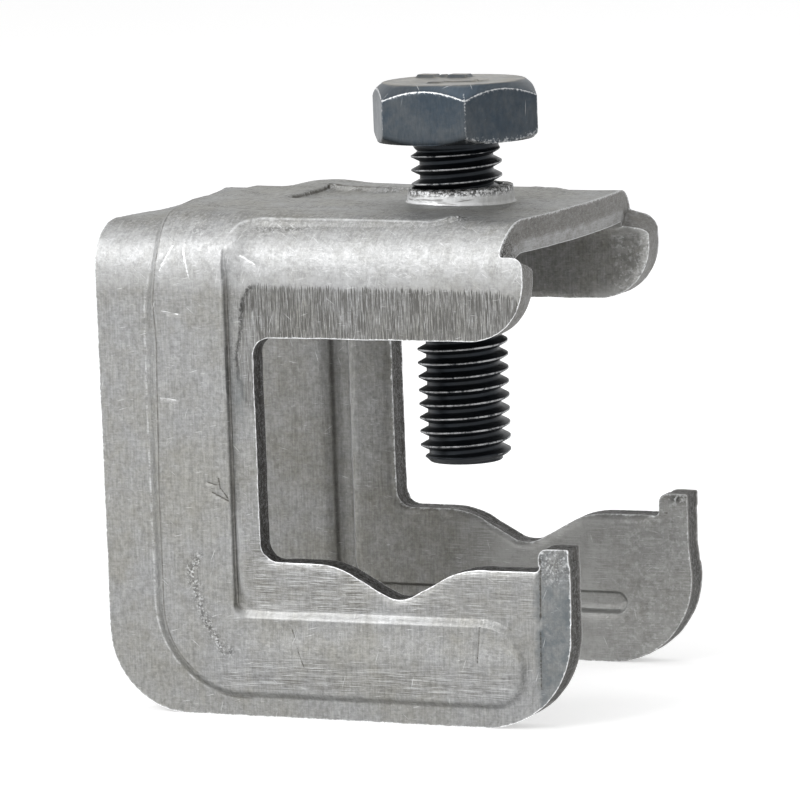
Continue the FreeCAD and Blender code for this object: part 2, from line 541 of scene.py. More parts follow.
# how finely the blank is cut: steps, spacings, counts, and rows of points beside each line
cutting = {
    "outlineStep": 0.42, "ribStep": 0.32, "grooveStep": 0.5, "gougeStep": 0.3, "outerSpacing": 0.75,
    "innerSpacing": 1.0, "clear": 1.3, "boreCount": 84, "collarCount": 96,
    "edgeRows": (-0.12, 0.12, -0.3, 0.3, -0.6, 0.6, -1.0, 1.0), "crispRows": (0.05, -0.05),
    "footRows": (0.16, -0.16, 0.36, -0.4, 0.6, 0.9), "boreRows": (0.2, 0.4, 0.6, 0.8, 1.1),
    "crestRows": (0.16, -0.16, 0.36, -0.4, 0.75, -0.75, 1.3, -1.3),
    "grooveRows": (-0.3, -0.12, 0.0, 0.12, 0.3), "dishRows": (-0.25, 0.0, 0.25, 0.5),
}
markReach = 3.0         # marks are kept as distances up to this, and as minus this elsewhere
wallPlace = 40.0        # third coordinate of the cut walls' texture, apart from that of the skins


def fromFoot(s):
    # distance along the blank from the nearer cheek's foot
    return np.minimum(s, whole - s)


def fold(x, s, n):
    # a point of the flat blank, n outward from its outer skin, on the folded plate
    m = fromFoot(s)
    angle = np.clip((m - cheekLine) / plate["bend"], 0, math.pi / 2)
    radius = plate["bend"] + n
    y = -webHalf - radius * np.cos(angle)
    z = cheekLine + radius * np.sin(angle)
    z = np.where(m < cheekLine, m, z)
    y = np.where(m > webLine, -webHalf + (m - webLine), y)
    return np.stack([x, np.where(s > middle, -y, y), z], 1)


def onBlank(y):
    # distance along the blank of the outer skin's point at depth y, near half
    half = min(abs(y), plate["halfWidth"])
    if half <= webHalf:
        return middle - half if y <= 0 else middle + half
    m = cheekLine + plate["bend"] * math.acos((half - webHalf) / plate["bend"])
    return m if y <= 0 else whole - m


def acrossBlank(s):
    # depth y of the outer skin at a distance along the blank
    m = min(s, whole - s)
    if m <= cheekLine:
        y = -plate["halfWidth"]
    elif m <= webLine:
        y = -webHalf - plate["bend"] * math.cos((m - cheekLine) / plate["bend"])
    else:
        y = m - middle
    return y if s <= middle else -y


def sagArc(y, half, sag):
    # height of a shallow arc of chord 2*half at y
    if abs(y) >= half:
        return 0.0
    radius = (half * half + sag * sag) / (2 * sag)
    return math.sqrt(radius * radius - y * y) - (radius - sag)


def cheekCorners(tipShift=0.0, bulge=0.0, tipCorner=1.2):
    p = plate
    tipLine = cheekLine + p["bend"] * math.asin((p["tipTop"] - cheekLine) / p["bend"])
    hookX = p["front"] - p["hookWidth"]
    tip = p["tip"] + tipShift
    return [
        (p["rear"], 0, p["rearCorner"]),
        (p["front"] + bulge, 0, p["frontCorner"]),
        (p["front"] + bulge * 0.7, 10.7, 0),
        (p["front"], 14.0, 0),
        (p["front"], p["hookTop"], 0.25),
        (hookX, p["hookTop"], p["hookRound"]),
        (hookX, p["ledge"], p["hookRoot"]),
        (p["notchHalf"], p["ledge"], p["notchShoulder"]),
        (0, p["ledge"] - p["notchDepth"], p["notchRadius"]),
        (-p["notchHalf"], p["ledge"], p["notchShoulder"]),
        (p["windowRear"], p["ledge"], p["windowCorner"]),
        (p["windowRear"], p["windowTop"], p["windowCorner"]),
        (tip, p["windowTop"], p["tipRound"]),
        (tip, tipLine, tipCorner),
    ]


def blankOutline(step):
    p = plate
    near = cheekCorners()
    far = [(x, whole - s, r) for x, s, r in cheekCorners(0.35, 0.4, 2.2)]
    front = []
    tipLine = near[-1][1]
    count = 70
    for k in range(count + 1):
        s = tipLine + (whole - 2 * tipLine - p["farTipRise"]) * k / count
        y = acrossBlank(s)
        x = p["webFront"] + sagArc(y, p["halfWidth"], p["frontBulge"])
        front.append((x, s, 0.3 if k in (0, count) else 0))
    rear = []
    for k in range(count + 1):
        y = p["dipHalf"] - 2 * p["dipHalf"] * k / count
        rear.append((p["rear"] + sagArc(y, p["dipHalf"], p["rearDip"]), onBlank(y), 0))
    points = trace(near + front + far[::-1] + rear, step)
    ragged = np.stack([bumps(points, 2.0, 9.4), bumps(points, 2.0, 21.7)], 1)
    return points + p["ragged"] * ragged


def mirrored(near, step):
    return trace(near + [(x, whole - s, r) for x, s, r in near[::-1]], step)


def footOutline(step):
    # where the pressed rib and the pad rise from the sheet
    r = rib
    return mirrored([
        (r["rearFoot"], middle - 6, 0), (-28.9, 59.2, 5.0), (-27.6, 54.2, 4.0), (-27.25, 49.6, 2.5),
        (-28.35, 44.2, 4.0), (r["outerFoot"], 34.0, 0), (r["outerFoot"], r["lowFoot"], r["corner"] + 1.1),
        (r["front"] + 0.55, r["lowFoot"], 3.8), (r["front"] + 0.55, r["legFoot"], 4.9),
        (r["innerCrest"] + 0.15, r["legFoot"] - 0.1, 0.9), (r["innerCrest"] + 0.25, 38.0, 0),
        (r["innerCrest"] + 0.3, 50.1, 1.4), (-17.2, 52.9, 1.8), (-15.2, 53.4, 2.0), (3.9, 53.6, 1.0),
        (6.9, 55.5, 1.5), (8.6, 58.8, 3.0)], step)


def crestOutline(step):
    # where they reach their full height
    r = rib
    return mirrored([
        (r["rearCrest"], middle - 6, 0), (-27.1, 58.6, 5.0), (-26.5, 53.3, 3.0), (-26.25, 50.4, 2.5),
        (-26.95, 44.8, 3.0), (-26.7, 40.5, 4.0), (r["outerCrest"], 24.0, 0),
        (r["outerCrest"], r["lowCrest"], r["corner"]), (r["front"], r["lowCrest"], 3.4),
        (r["front"], r["legTop"], 4.35), (r["innerCrest"] + 0.02, r["legTop"] - 0.04, 1.3),
        (r["innerCrest"] + 0.1, 38.0, 0), (r["innerCrest"] + 0.1, 50.6, 2.0), (-17.6, 53.6, 2.0),
        (-15.4, 54.35, 2.0), (3.6, 54.45, 1.0), (6.5, 56.1, 1.5), (8.2, 59.0, 3.0)], step)


def grooveOutline(step):
    half = groove["width"] / 2
    outer = -groove["reach"] - half
    inner = -groove["reach"] + half
    low = groove["level"] - half
    high = groove["level"] + half
    return mirrored([
        (outer, low, groove["corner"]), (groove["front"], low, groove["endRound"]),
        (groove["front"], high, groove["endRound"]), (inner, high, groove["corner"] - groove["width"])], step)


def circle(x, s, radius, count):
    angles = [2 * math.pi * k / count for k in range(count)]
    return np.array([(x + radius * math.cos(a), s + radius * math.sin(a)) for a in angles])


# the pad's height over the plain web from rear to front, and how its rear rim stands from near to far
padLevel = {"x": [-27, -24, -20, -12.6, 2, 5.5, 8.2], "height": [0.92, 0.84, 0.72, 0.52, 0.3, 0.16, 0.06]}
rearWave = {"y": [-15, -10, -6, -2, 2, 6, 9, 12, 15],
            "height": [-0.22, -0.17, -0.3, -0.24, 0.08, 0.0, 0.08, 0.25, 0.0]}
# small dents of handling on the outer skin: x, s, radius, depth
dents = [
    (4.3, middle + 14.0, 1.2, 0.3), (7.9, middle + 10.7, 0.9, 0.28), (-12.0, middle - 7.0, 1.2, 0.06),
    (-24.0, webLine - 4.0, 1.4, 0.07), (-6.0, webLine - 5.5, 2.0, 0.05), (4.5, webLine - 3.0, 1.6, 0.06),
    (-29.5, webLine - 3.0, 1.8, 0.08), (-21.5, 30.0, 1.5, 0.05), (10.5, 47.0, 1.2, 0.08),
    (5.0, 8.0, 1.3, 0.05), (-24.0, 12.0, 1.6, 0.06), (-31.0, 22.0, 1.4, 0.05),
]
# scratches cut into it: their points, half width, depth, and whether they are bright or hold dirt; the last
# dark one is a painted shade line
gouges = [
    ([(-25.98, 43.81), (-23.98, 43.52)], 0.09, 0.05, "bright"),
    ([(-26.53, 34.42), (-24.64, 34.25)], 0.09, 0.05, "bright"),
    ([(-26.02, 48.06), (-24.58, 50.4)], 0.11, 0.06, "bright"),
    ([(-23.3, 50.2), (-23.0, 48.9)], 0.13, 0.05, "bright"),
    ([(-23.0, 49.4), (-22.75, 48.1)], 0.1, 0.05, "bright"),
    ([(-22.8, 48.7), (-22.5, 47.3)], 0.09, 0.05, "bright"),
    ([(-16.89, 49.71), (-15.3, 48.87)], 0.12, 0.05, "bright"),
    ([(-21.3, 25.5), (-20.4, 25.2)], 0.09, 0.06, "dirty"),
    ([(-20.8, 24.4), (-18.95, 23.5)], 0.12, 0.08, "dirty"),
    ([(-20.0, 25.9), (-19.87, 24.9), (-19.0, 23.8)], 0.11, 0.08, "dirty"),
    ([(9.33, 10.8), (9.16, 7.1)], 0.08, 0.07, "dirty"),
    ([(-12.3, 9.9), (-11.9, 8.9)], 0.08, 0.05, "dirty"),
    ([(-11.6, 7.8), (-10.8, 5.8)], 0.07, 0.05, "dirty"),
    ([(16.15, 18.2), (16.05, 12.0)], 0.1, 0.1, "dirty"),
    ([(16.0, 10.5), (15.9, 4.4)], 0.08, 0.1, "dirty"),
    # painted shade: a thin dark line along the dished field's edge, where its wall faces away from the light
    ([(-19.9, middle + 0.5), (-19.9, middle + 10.9), (-12.5, middle + 11.0)], 0.1, 0.05, "dirty"),
]
# dark lines and a spot on the inside of the hooks, painted only
innerGouges = [
    ([(16.55, 18.4), (16.45, 13.0), (16.2, 7.4), (15.2, 3.0)], 0.05, 0.0, "dirty"),
    ([(16.95, 16.9), (17.2, 17.05)], 0.3, 0.0, "dirty"),
]
# a curved trail of pits on the rib's lower corner
pitTrail = [(-22.8, 17.4), (-23.8, 15.9), (-23.1, 13.6), (-22.6, 11.5), (-21.6, 9.4), (-20.3, 7.4),
            (-19.4, 7.0)]
# the low fillet inside the rib's corner
filletLine = [(-18.4, 22.0), (-18.4, 16.2), (-18.1, 14.1), (-17.0, 12.6), (-15.0, 12.0), (-11.8, 11.8)]
# the field round the window that was scored and wiped dark
scoredCorners = [
    (-15.7, 46.5), (12.5, 46.1), (14.9, 45.2), (14.9, 40.0), (-14.0, 40.0), (-14.0, 31.5), (-15.9, 32.2),
    (-16.37, 33.6), (-17.0, 34.3), (-17.3, 35.6), (-17.6, 36.8), (-17.8, 38.6), (-17.5, 40.2), (-17.0, 42.4),
    (-16.9, 44.6), (-16.4, 45.6),
]
# soft marks as x, s, width, height: where the pad's step runs out, two lumps, a stain, a painted highlight in
# the rib's corner and a bright spot
stepEnd = (-18.6, 51.5, 2.0, 2.3)
padLump = (6.0, 55.6, 1.3, 0.9)
cornerLump = (-18.2, 11.4, 0.9, 0.6)
windowStain = (-17.6, 34.6, 0.7, 2.6)
cornerHighlight = (-18.3, 11.3, 0.7, 0.5)
hookTopSpot = (18.2, 18.8, 1.0, 0.5)
# rough dirty patches of the outer skin, the third a painted shade under the pad's step: strength, then the
# mark
roughAndShadeSpots = [
    (0.9, (6.3, 55.9, 1.5, 1.1)), (0.45, (0.5, 56.6, 2.4, 1.6)), (0.6, (-12.8, 53.1, 3.6, 0.5)),
    (0.35, (-22.0, 52.0, 2.0, 1.4)),
]


def limited(away):
    # a distance held within the reach of the marks
    return np.clip(away, -markReach, markReach)


def gougeReach(points, kind=None, marks=gouges):
    # how far inside a scratch's width each point lies, or without a kind how deep it is cut there
    inside = np.full(len(points), -markReach)
    sunk = np.zeros(len(points))
    for corners, half, depth, finish in marks:
        line = np.array(corners)
        away = farFrom(points, line[:-1], line[1:])
        sunk = np.maximum(sunk, depth * np.clip(1 - away / half, 0, 1))
        if finish == kind:
            inside = np.maximum(inside, half - away)
    return inside if kind else sunk


def softSpot(x, s, mark):
    # 1 at the middle of a mark, falling away round it
    return np.exp(-((x - mark[0]) / mark[2]) ** 2 - ((s - mark[1]) / mark[3]) ** 2)


def softLine(points, corners, width):
    # 1 along a line through corners, falling away beside it
    line = np.array(corners)
    return np.exp(-(farFrom(points, line[:-1], line[1:]) / width) ** 2)


def webHeight(x, y, n, onWeb):
    # the rear rim sags and waves a little, and a shallow field is dished behind the collar
    n = n + np.interp(y, rearWave["y"], rearWave["height"]) * smooth((-24.0 - x) / 7.0) * onWeb
    field = smooth((x + 20.1) / 0.35) * smooth((11.0 - y) / 0.45) * smooth((y + 2.5) / 3.5)
    field *= 1 - smooth((x + 14.0) / 9.0)
    return n - plate["dishDepth"] * field * onWeb


def collarHeight(x, y, n, rough):
    # the collar drawn up round the screw hole, with a ragged top
    away = np.hypot(x - collar["shift"], y)
    up = np.clip((collar["radius"] - away) / (collar["radius"] - collar["topRadius"]), 0, 1)
    top = collar["height"] + collar["slant"] * x + collar["ragged"] * np.minimum(rough, 0)
    top = top - collar["rounding"] * smooth((away - 5.35) / 0.3)
    foot = collar["footRise"] * smooth(1 - (away - collar["radius"]) / collar["foot"]) ** 2
    return np.where(away < collar["area"], (n + foot) * (1 - up) + top * up, n)


def outerHeight(points, edge, footIn, crestIn):
    # how far the outer skin stands above the plain plate
    x, s = points.T
    m = fromFoot(s)
    y = s - middle
    onWeb = smooth((m - 50.5) / 3.5)
    rough = bumps(np.stack([x, y], 1), 0.5, 3.7, 2)
    level = np.interp(x, padLevel["x"], padLevel["height"])
    level = rib["height"] + (level - rib["height"]) * onWeb
    level = level - rib["landDrop"] * smooth((s - 6.5) / 3.5) * smooth((x + 19.2) / 2.0) * (s < lowLegEnd)
    # towards the far bend the pad rises later and stands a little higher
    farBend = smooth((y - 8.0) / 4.0) * onWeb
    level = level * (1 - farBend * (1 - smooth((x + 28.2) / 5.4)))
    level = level + rib["farRise"] * farBend * np.exp(-((x + 20.5) / 2.6) ** 2)
    t = np.where(crestIn >= 0, 1.0, np.clip(footIn / np.maximum(footIn - crestIn, 1e-6), 0, 1))
    n = level * (0.4 * t + 0.6 * smooth(t)) + rib["crown"] * smooth(crestIn / 3.0) * (1 - onWeb)
    # the land rises to the pad where the step runs out in the bend
    n = np.maximum(n, level * np.clip(1.35 * softSpot(x, s, stepEnd), 0, 1) * (s < middle))
    n = webHeight(x, y, n, onWeb)
    n = collarHeight(x, y, n, rough)
    n += 0.2 * softSpot(x, s, padLump) * (1 + 0.8 * rough)
    for dx, ds, radius, depth in dents:
        away = np.hypot(x - dx, s - ds) / radius
        n -= depth * np.exp(-away * away) - 0.4 * depth * np.exp(-((away - 1.35) / 0.35) ** 2)
    # the strip along the hook's front lies a little lower, and the edges at the ledge are rolled
    n -= plate["stripDepth"] * smooth((x - 15.7) / 0.6) * (m < lowLegEnd) * (s < middle)
    atLedge = (m > 11.5) * (m < 17.5) * (x > -16.5)
    n -= plate["ledgeRoll"] * np.clip(1 - edge / plate["ledgeRollWidth"], 0, 1) ** 2 * atLedge
    n += 0.12 * softSpot(x, s, cornerLump) + 0.1 * softLine(points, filletLine, 0.45)
    n -= gougeReach(points)
    n += plate["wave"] * bumps(points, 6.0, 1.3)
    n += plate["burr"] * np.exp(-edge / 0.09) * (0.6 + 0.6 * rough)
    return n


def innerHeight(points, edge, holeEdge, grooveIn):
    # the same for the inner skin, with the pressed groove, the rolled edge and the hole's wide mouth
    x, s = points.T
    m = fromFoot(s)
    n = -plate["thick"] + groove["depth"] * smooth(0.5 + grooveIn / (2 * groove["flank"]))
    roll = np.clip(1 - edge / plate["rollWidth"], 0, 1) ** 2
    roll *= 1 - smooth((x - 14.0) / 1.5) * (m < lowLegEnd) - smooth((m - 50.5) / 1.5) * (x > 8)
    deep = smooth((-12.5 - x) / 1.5) * smooth((m - 13.5) / 3.0) * smooth((43.0 - m) / 3.0)
    n += (plate["rollDepth"] + plate["rearRoll"] * deep * (s < middle)) * roll
    n += plate["innerWave"] * bumps(points, 7.0, 8.1)
    return n + 0.9 * collar["mouth"] * np.clip(1 - holeEdge / collar["mouth"], 0, 1)


def besideLine(line, half):
    # two rows of points at the sides of an open line
    along = np.gradient(line, axis=0)
    along /= np.linalg.norm(along, axis=1)[:, None]
    sideways = np.stack([-along[:, 1], along[:, 0]], 1) * half
    return np.concatenate([line + sideways, line - sideways])


def outerBlank(outline, hole, footLoop, crestLoop, edgeRows):
    # the outer skin cut into triangles, with rows of points where its form turns
    count = cutting["collarCount"]
    holeRows = [circle(collar["shift"] * share, middle, r, count) for r, share in collar["rows"]]
    holeRows = np.concatenate(holeRows)
    holeRows = holeRows[reach(holeRows, hole) < -0.09]
    lines = []
    for points, *rest in gouges:
        lines.append(trace([(x, s, 0) for x, s in points], cutting["gougeStep"], closed=False))
    sides = [besideLine(line, half) for line, (_, half, _, _) in zip(lines, gouges)]
    ribRows = np.concatenate([besideLoop(footLoop, cutting["footRows"]),
                              besideLoop(crestLoop, cutting["crestRows"])])
    ribRows = ribRows[reach(ribRows, outline) > 1.25]
    crisp = np.concatenate([besideLoop(loop, cutting["crispRows"]) for loop in (footLoop, crestLoop)])
    dishCorners = [(-20.0, middle - 2, 0), (-20.0, middle + 11, 1.0), (-8.0, middle + 11, 0)]
    dishEdge = trace(dishCorners, 0.5, closed=False)
    dishRows = np.concatenate([dishEdge + np.array((dx, -dx)) for dx in cutting["dishRows"]])
    creases = [np.vstack([loop, loop[:1]]) for loop in (footLoop, crestLoop)] + lines
    extra = np.concatenate([edgeRows, holeRows])
    for rows, gap in ((crisp, 0.045), (np.concatenate(sides), 0.06), (ribRows, 0.1), (dishRows, 0.2)):
        extra = np.concatenate([extra, thinned(rows, np.concatenate(creases + [extra]), gap)])
    return covered([outline, hole], creases, extra, cutting["outerSpacing"], cutting["clear"])


def innerBlank(outline, hole, grooveLoop, edgeRows):
    # the same for the inner skin
    count = cutting["boreCount"]
    holeRows = [circle(0, middle, collar["bore"] + r, count) for r in cutting["boreRows"]]
    grooveRows = besideLoop(grooveLoop, cutting["grooveRows"])
    extra = np.concatenate([edgeRows, *holeRows, grooveRows])
    return covered([outline, hole], [], extra, cutting["innerSpacing"], cutting["clear"])


def skinMarks(flat):
    # x: distance inside the scored field, y: rough dirty patches and a painted shade under the pad's step, z:
    # bluish stain
    x, s = flat.T
    m = fromFoot(s)
    near = s < middle
    away = np.hypot(x - collar["shift"], s - middle)
    scored = np.where(near, limited(reach(flat, np.array(scoredCorners))), -markReach)
    cloudy = smooth(0.3 + 1.6 * bumps(np.column_stack([x, 1.6 * s]), 4.5, 12.4)) * smooth((m - 54.0) / 3.0)
    hookFront = smooth((x - 15.6) / 0.4) * near
    rough = [
        smooth((away - 5.0) / 0.2) * smooth((5.78 - away) / 0.06),
        0.16 * smooth((s - 46.5) / 2.0) * smooth((57.5 - s) / 3.0),
        0.8 * softLine(flat, pitTrail, 0.45),
        0.4 * hookFront * smooth((s - 14.5) / 2.5) * (s < lowLegEnd),
        0.32 * cloudy * (away > 6.2),
    ]
    rough += [strength * softSpot(x, s, mark) for strength, mark in roughAndShadeSpots]
    stain = hookFront * (s < lowLegEnd) * (1 - 0.5 * smooth((s - 14.0) / 3.0))
    stain = np.maximum(stain, 0.7 * near * softSpot(x, s, windowStain))
    return np.stack([scored, np.max(rough, 0), stain], 1)


def rubbedAndSheenMask(flat):
    # rubbed metal and painted sheen: the bends are rubbed bright and painted lighter for a stronger
    # highlight, the collar's wall is rubbed bright, and the rib's lower edge, the fillet and a spot in the
    # rib's corner carry a painted highlight
    x, s = flat.T
    m = fromFoot(s)
    away = np.hypot(x - collar["shift"], s - middle)
    bends = smooth((m - 45.0) / 3.5) * smooth((55.0 - m) / 4.0)
    wall = smooth((away - 5.64) / 0.06) * smooth((6.02 - away) / 0.06) * (1 - 0.45 * smooth((x - 2.0) / 3.0))
    leg = smooth((m - 10.6) / 0.25) * smooth((11.95 - m) / 0.25) * (s < lowLegEnd)
    leg = leg * smooth((6.0 - x) / 5.0) * smooth((x + 19.2) / 0.5)
    fillet = 0.6 * softLine(flat, filletLine, 0.4)
    return np.max([bends, 1.7 * wall, 0.6 * leg, fillet, softSpot(x, s, cornerHighlight)], 0)


def scoring(flat):
    # where level scratches gather on the near cheek: its foot, the land above it and the hook's end
    x, s = flat.T
    low = smooth((x + 23.0) / 3.0) * smooth((14.5 - x) / 2.0)
    low = low * smooth((s - 2.9) / 0.6) * smooth((7.6 - s) / 2.0)
    land = smooth((x + 18.0) / 1.0) * smooth((-1.0 - x) / 3.0) * smooth((s - 11.4) / 0.5) * (s < lowLegEnd)
    end = smooth((x + 2.0) / 3.0) * smooth((15.6 - x) / 0.6) * smooth((s - 11.6) / 0.5) * (s < lowLegEnd)
    return np.max([low, 1.3 * land, 0.9 * end], 0)


def innerMarks(flat, edge):
    # the inside is painted lighter towards the hooks and round the tips: partly wiped metal, partly painted
    # light where the inside is less shaded
    x, s = flat.T
    m = fromFoot(s)
    wipedAndLit = smooth((x + 10.0) / 9.0) * smooth((19.5 - m) / 2.0) * (1 - 0.22 * smooth((x - 6.0) / 6.0))
    tips = 0.5 * smooth((x - 10.6) / 1.8) * smooth((m - 40.0) / 1.0) * smooth((50.5 - m) / 2.0)
    rim = 1.1 * np.exp(-(edge / 1.1) ** 2) * (x > 9) * (m > 40)
    hookTop = 0.9 * softSpot(x, m, hookTopSpot)
    rough = np.max([0.6 * tips, 0.16 * smooth((x - 6.0) / 8.0) * (m < lowLegEnd), hookTop], 0)
    return np.stack([np.full(len(x), -0.7), rough, np.max([wipedAndLit, tips, rim], 0)], 1)


def wallMarks(loop, t):
    # x: painted light and shade of the cut face by the way it faces: black window walls, a dark hook front
    # with lighter edges, lighter tips and a lighter lower band on the web's front, y: rough dark patches, z:
    # bright beads along its outer edge
    x, s = loop.T
    m = fromFoot(s)
    nearTip = (s < middle) * (x > 11.0)
    tone = np.full(len(loop), 0.42)
    tone[(x > 9.0) & (m > 41.2)] = 0.5
    tone[(x > 11.0) & (m > 52.0)] = 0.42 + 0.25 * float(smooth((0.42 - t) / 0.08))
    tone[(x > 16.3) & (m < lowLegEnd)] = 0.1 + 0.4 * float(abs(t - 0.5) > 0.42)
    tone[(x > -16.4) & (x < 16.3) & (m > 12.0) & (m < 41.2)] = 0.0
    rough = 1.3 * nearTip * np.exp(-((m - 50.8) / 2.2) ** 2)
    beads = nearTip * np.exp(-((m - 50.0) / 4.0) ** 2) * smooth((t - 0.7) / 0.2)
    return np.stack([tone, rough, beads], 1)


def quads(rows):
    # four-sided faces between closed rows of equal length
    for lower, upper in zip(rows[:-1], rows[1:]):
        for i in range(len(lower)):
            j = (i + 1) % len(lower)
            yield lower[i], lower[j], upper[j], upper[i]


def addWall(layers, faces, loop, isHole, outRing, inRing, top, bottom):
    # a cut wall between the skins, torn on the outer two thirds
    count = len(loop)
    total = sum(len(part) for part in layers["places"])
    outward = -sidewaysOf(loop)
    if reach(loop[:1] + outward[:1] * 0.05, loop)[0] > 0:
        outward = -outward
    lengths = np.linalg.norm(np.roll(loop, -1, 0) - loop, axis=1)
    travel = np.concatenate([[0], np.cumsum(lengths)[:-1]])
    rows = [inRing.tolist()]
    steps = [k / plate["wallRows"] for k in range(1, plate["wallRows"])]
    for t in [plate["wallEnds"]] + steps + [1 - plate["wallEnds"]]:
        n = bottom + (top - bottom) * t
        torn = smooth((t - 0.3) / 0.15) * smooth((1.0 - t) / 0.06)
        spots = np.stack([travel, n * 1.4, np.full(count, 5.0 if isHole else 0.0)], 1)
        push = -plate["tornBack"] * torn + plate["tear"] * torn * bumps(spots, 0.75, 2.2, 3)
        if isHole:
            push = -0.25 * push
        flat = loop + outward * push[:, None]
        edge = max(math.exp(-(1 - t) * 5.0), 0.75 * math.exp(-t * 9.0))
        layers["places"].append(fold(flat[:, 0], flat[:, 1], n))
        layers["sheet"].append(np.column_stack([travel, n, np.full(count, wallPlace)]))
        layers["edge"].append(np.full(count, edge))
        layers["marks"].append(wallMarks(loop, t))
        layers["ribs"].append(np.full((count, 3), -markReach))
        layers["cuts"].append(np.full((count, 3), -markReach))
        rows.append(list(range(total, total + count)))
        total += count
    faces += quads(rows + [outRing.tolist()])


def makePlate(materials):
    outline = blankOutline(cutting["outlineStep"])
    hole = circle(0, middle, collar["bore"], cutting["boreCount"])
    footLoop = footOutline(cutting["ribStep"])
    crestLoop = crestOutline(cutting["ribStep"])
    grooveLoop = grooveOutline(cutting["grooveStep"])
    edgeRows = besideLoop(outline, cutting["edgeRows"], within=True)
    outFlat, outFaces, outOrder = outerBlank(outline, hole, footLoop, crestLoop, edgeRows)
    inFlat, inFaces, inOrder = innerBlank(outline, hole, grooveLoop, edgeRows)
    print("blank cut into", len(outFaces), "and", len(inFaces), "triangles")

    outEdge = np.abs(reach(outFlat, outline))
    inEdge = np.abs(reach(inFlat, outline))
    outHole = np.maximum(-reach(outFlat, hole), 0)
    inHole = np.maximum(-reach(inFlat, hole), 0)
    footIn = reach(outFlat, footLoop)
    crestIn = reach(outFlat, crestLoop)
    grooveIn = reach(inFlat, grooveLoop)
    outRise = outerHeight(outFlat, outEdge, footIn, crestIn)
    inRise = innerHeight(inFlat, inEdge, inHole, grooveIn)

    # one value of each kind for each vertex: the outer skin, the inner skin, then the walls
    inX, inM = inFlat[:, 0], fromFoot(inFlat[:, 1])
    nowhere = np.full(len(inFlat), -markReach)
    ribsOut = [limited(footIn), limited(crestIn), rubbedAndSheenMask(outFlat)]
    cutsOut = [gougeReach(outFlat, "bright"), gougeReach(outFlat, "dirty"), scoring(outFlat)]
    cutsIn = [nowhere, gougeReach(np.stack([inX, inM], 1), "dirty", innerGouges),
              0.9 * smooth((inX + 12) / 8) * (inM < lowLegEnd)]
    layers = {
        "places": [fold(*outFlat.T, outRise), fold(*inFlat.T, inRise)],
        "sheet": [np.column_stack([outFlat, outRise]), np.column_stack([inFlat, inRise])],
        "edge": [np.exp(-np.minimum(outEdge, outHole) / 0.22), np.exp(-inEdge / 0.5)],
        "marks": [skinMarks(outFlat), innerMarks(inFlat, inEdge)],
        "ribs": [np.stack(ribsOut, 1), np.stack([limited(grooveIn), nowhere, nowhere], 1)],
        "cuts": [np.stack(cutsOut, 1), np.stack(cutsIn, 1)],
    }
    shift = len(outFlat)
    faces = outFaces + [(c + shift, b + shift, a + shift) for a, b, c in inFaces]
    skinFaces = len(faces)
    start = 0
    for loop in (outline, hole):
        ring = np.arange(start, start + len(loop))
        start += len(loop)
        outRing = outOrder[ring]
        inRing = inOrder[ring]
        addWall(layers, faces, loop, loop is hole, outRing, inRing + shift, outRise[outRing], inRise[inRing])
    slots = [0] * len(outFaces) + [1] * len(inFaces) + [2] * (len(faces) - skinFaces)
    values = {key: np.concatenate(data) for key, data in layers.items()}
    piece = meshFrom("foldedPlate", values.pop("places"), faces, values, materials, slots)
    sharpen(piece.data)
    return piece


def sharpen(mesh):
    # the cut walls meet the skins at sharp edges
    bm = bmesh.new()
    bm.from_mesh(mesh)
    bmesh.ops.recalc_face_normals(bm, faces=bm.faces)
    for edge in bm.edges:
        slots = {f.material_index for f in edge.link_faces}
        if len(edge.link_faces) == 2 and slots in ({0, 2}, {1, 2}):
            edge.smooth = False
    bm.to_mesh(mesh)
    bm.free()


# finishes of the plate

# dirtAndShade colours real dirt and also painted shade along the groove and in the rib's corner;
# polishAndSheen colours rubbed metal and painted highlights
aluminium = {
    "cool": (0.298, 0.301, 0.302), "warm": (0.268, 0.264, 0.243), "pale": (0.38, 0.385, 0.39),
    "dark": (0.125, 0.123, 0.117), "bright": (0.86, 0.87, 0.88), "dirtAndShade": (0.07, 0.065, 0.055),
    "stain": (0.13, 0.147, 0.157), "black": (0.02, 0.019, 0.018), "polishAndSheen": (0.58, 0.585, 0.59),
    "stainLeast": 0.35, "stainMore": 0.6, "fleckSize": 0.5, "wear": 0.4,
    # fine scratches: turn, cell, cover
    "scratches": [(1.35, 2.0, 0.02), (0.3, 2.6, 0.015), (-0.9, 2.3, 0.01), (1.58, 1.1, 0.05)],
    "tint": (0.8, 0.8, 0.79), "metallic": 0.9, "bumpStrength": 0.5, "bumpDistance": 0.00006,
}
# inside, a darker copy of the metal paints shade on the inner skin, and its stain is a pale wipe that is
# partly painted light
aluminiumShadedInside = {
    **aluminium, "cool": (0.24, 0.24, 0.234), "warm": (0.20, 0.195, 0.175), "stain": (0.39, 0.39, 0.38),
    "stainLeast": 0.5, "stainMore": 0.45, "fleckSize": 0.8, "wear": 0.22,
}
# the cut faces run from black through mid to pale with the painted light and shade of each face
cutFace = {
    "black": (0.034, 0.032, 0.029), "mid": (0.17, 0.165, 0.155), "pale": (0.42, 0.425, 0.43),
    "bright": (0.8, 0.81, 0.82), "wear": 0.27, "metallic": 0.85, "bumpStrength": 0.6, "bumpDistance": 0.0001,
}


def markGrooveLightAndShade(color, grooveIn, x, m, small, look):
    # the pressed groove's edges: painted shade on its upper and rear edges, which face away from the light,
    # and a painted highlight on the other edges
    near = abs(grooveIn).ramp(0.34, 0.1)
    onLeg = x.ramp(-19.0, -17.5)
    upper = onLeg * m.ramp(groove["level"] - 0.3, groove["level"] + 0.3)
    rear = (1.0 - onLeg) * x.ramp(-21.9, -22.5)
    dark = near * larger(upper, rear)
    color = lay(color, look["dirtAndShade"], dark * (0.3 + 0.4 * small))
    return lay(color, look["bright"], (near - dark) * (0.3 + 0.5 * small))


